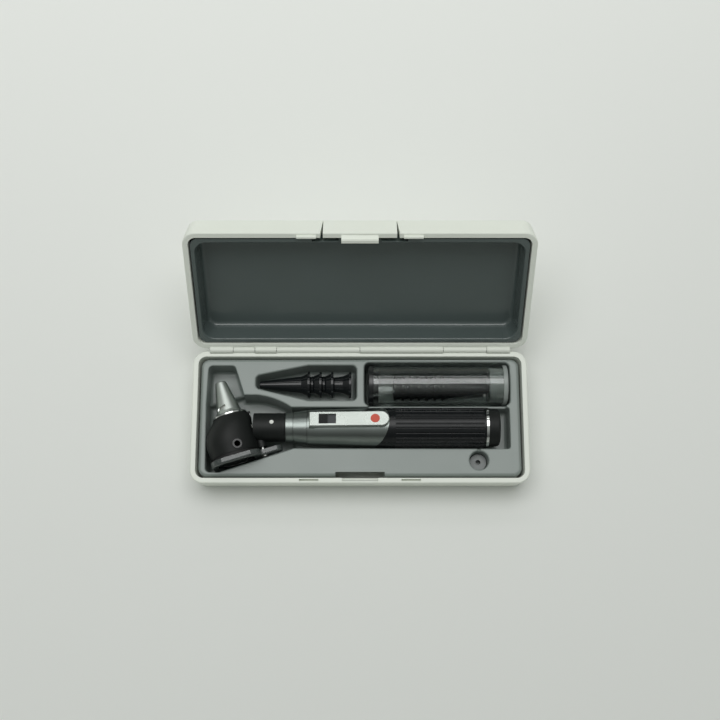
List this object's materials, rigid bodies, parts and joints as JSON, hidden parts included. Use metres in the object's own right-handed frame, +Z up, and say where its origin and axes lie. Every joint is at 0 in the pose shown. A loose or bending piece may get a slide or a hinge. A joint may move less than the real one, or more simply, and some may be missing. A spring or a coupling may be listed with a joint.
{
  "type": "otoscope carry case",
  "caption": "Hinged rigid carry case, open, with a formed tray holding an otoscope, spare ear specula and a tube of disposable specula.",
  "frame": {"origin": "centre of the flat underside of the base, on the table", "axes": "+X along the hinge to the right, +Y to the back where the hinge is, +Z up"},
  "size_m": [0.1998, 0.1428, 0.0881],
  "materials": {
    "shell_plastic": "warm off-white moulded plastic with a fine satin skin",
    "tray_plastic": "mid-grey thermoformed sheet, satin",
    "liner_plastic": "slate-grey thermoformed sheet, glossy",
    "steel": "drawn steel",
    "satin_metal": "satin plated metal",
    "polished_metal": "polished plated metal",
    "handle_alloy": "turned alloy tube",
    "cell_jacket": "printed-free foil jacket of a dry cell",
    "contact_brass": "turned brass",
    "black_matte": "matte black moulded plastic",
    "black_gloss": "glossy black moulded plastic",
    "grip_black": "fluted black plastic",
    "dark_grey": "dark-grey plastic",
    "seal_rubber": "black rubber",
    "smoke_plastic": "smoke-tinted clear plastic",
    "lens_glass": "polished lens",
    "lamp_glass": "clear lamp glass",
    "clear_plastic": "clear moulded plastic",
    "coral_inlay": "plain coral-red inlay, no mark on it",
    "white_ink": "white paint",
    "fibre_glass": "glass fibres"
  },
  "bodies": {
    "base": {"base_shell": "shell_plastic", "base_tray": "tray_plastic", "lamp_holder": "tray_plastic", "hinge_pin": "steel"},
    "lid": {"lid_shell": "shell_plastic", "lid_liner": "liner_plastic"},
    "latch": {"latch_tongue": "shell_plastic"},
    "otoscope": {"handle_core": "handle_alloy", "neck_collar": "satin_metal", "silver_shell": "satin_metal", "grip_sleeve": "grip_black", "battery_front": "cell_jacket", "battery_rear": "cell_jacket", "front_contact": "contact_brass", "contact_insulator": "black_matte", "coupling_ring": "satin_metal", "head_neck": "black_gloss", "head_housing": "black_matte", "speculum_cone": "satin_metal", "cone_flange": "polished_metal", "lock_ring": "black_matte", "fibre_sleeve": "fibre_glass", "fibre_bundle": "fibre_glass", "insufflation_port": "black_gloss", "window_gasket": "seal_rubber", "window_pin": "steel", "lamp_bulb": "lamp_glass", "lamp_socket": "contact_brass", "index_dot": "white_ink"},
    "clip": {"pocket_clip": "satin_metal", "marker_disc": "coral_inlay", "switch_track": "dark_grey"},
    "switch": {"slide_switch": "black_matte"},
    "cap_ring": {"cap_trim_ring": "polished_metal"},
    "cap": {"end_cap": "black_gloss", "contact_spring": "steel"},
    "window": {"window_frame": "smoke_plastic", "magnifier_lens": "lens_glass"},
    "spare_specula": {"spare_speculum_1": "black_gloss", "spare_speculum_2": "black_gloss", "spare_speculum_3": "black_gloss", "spare_speculum_4": "black_gloss"},
    "dispenser": {"tube_body": "clear_plastic", "tube_base": "black_gloss", "tube_cap": "clear_plastic", "disposable_speculum_1": "black_matte", "disposable_speculum_2": "black_matte", "disposable_speculum_3": "black_matte", "disposable_speculum_4": "black_matte", "disposable_speculum_5": "black_matte", "disposable_speculum_6": "black_matte", "disposable_speculum_7": "black_matte"}
  },
  "joints": [
    {"name": "lid_hinge", "type": "hinge", "parent": "base", "child": "lid", "pos_m": [0, 0.0409, 0.024], "axis": [-1, 0, 0], "range_deg": [-128, 0]},
    {"name": "latch_flex", "type": "hinge", "parent": "lid", "child": "latch", "pos_m": [0, 0.09944, 0.07522], "axis": [1, 0, 0], "range_deg": [0, 6], "stiffness_Nm_per_rad": 0.6},
    {"name": "otoscope_lift", "type": "slide", "parent": "base", "child": "otoscope", "axis": [0, 0, 1], "range_m": [0, 0.06]},
    {"name": "clip_flex", "type": "hinge", "parent": "otoscope", "child": "clip", "pos_m": [-0.0298, -0.0041, 0.02989], "axis": [0, -0.9781, 0.2079], "range_deg": [0, 4], "stiffness_Nm_per_rad": 0.8},
    {"name": "switch_slide", "type": "slide", "parent": "clip", "child": "switch", "axis": [1, 0, 0], "range_m": [0, 0.0046]},
    {"name": "cap_travel", "type": "slide", "parent": "otoscope", "child": "cap_ring", "axis": [1, 0, 0], "range_m": [0, 0.0045]},
    {"name": "cap_turn", "type": "hinge", "parent": "cap_ring", "child": "cap", "pos_m": [0.079, -0.0061, 0.0205], "axis": [1, 0, 0], "range_deg": [0, 1080]},
    {"name": "window_swivel", "type": "hinge", "parent": "otoscope", "child": "window", "pos_m": [-0.05661, -0.02144, 0.0205], "axis": [-0.2924, 0.9563, 0], "range_deg": [0, 75]},
    {"name": "spare_specula_lift", "type": "slide", "parent": "base", "child": "spare_specula", "axis": [0, 0, 1], "range_m": [0, 0.04]},
    {"name": "dispenser_lift", "type": "slide", "parent": "base", "child": "dispenser", "axis": [0, 0, 1], "range_m": [0, 0.05]}
  ],
  "couplings": [
    {"joint": "cap_turn", "follows": "cap_travel", "rad_per_m": 4188.8}
  ]
}
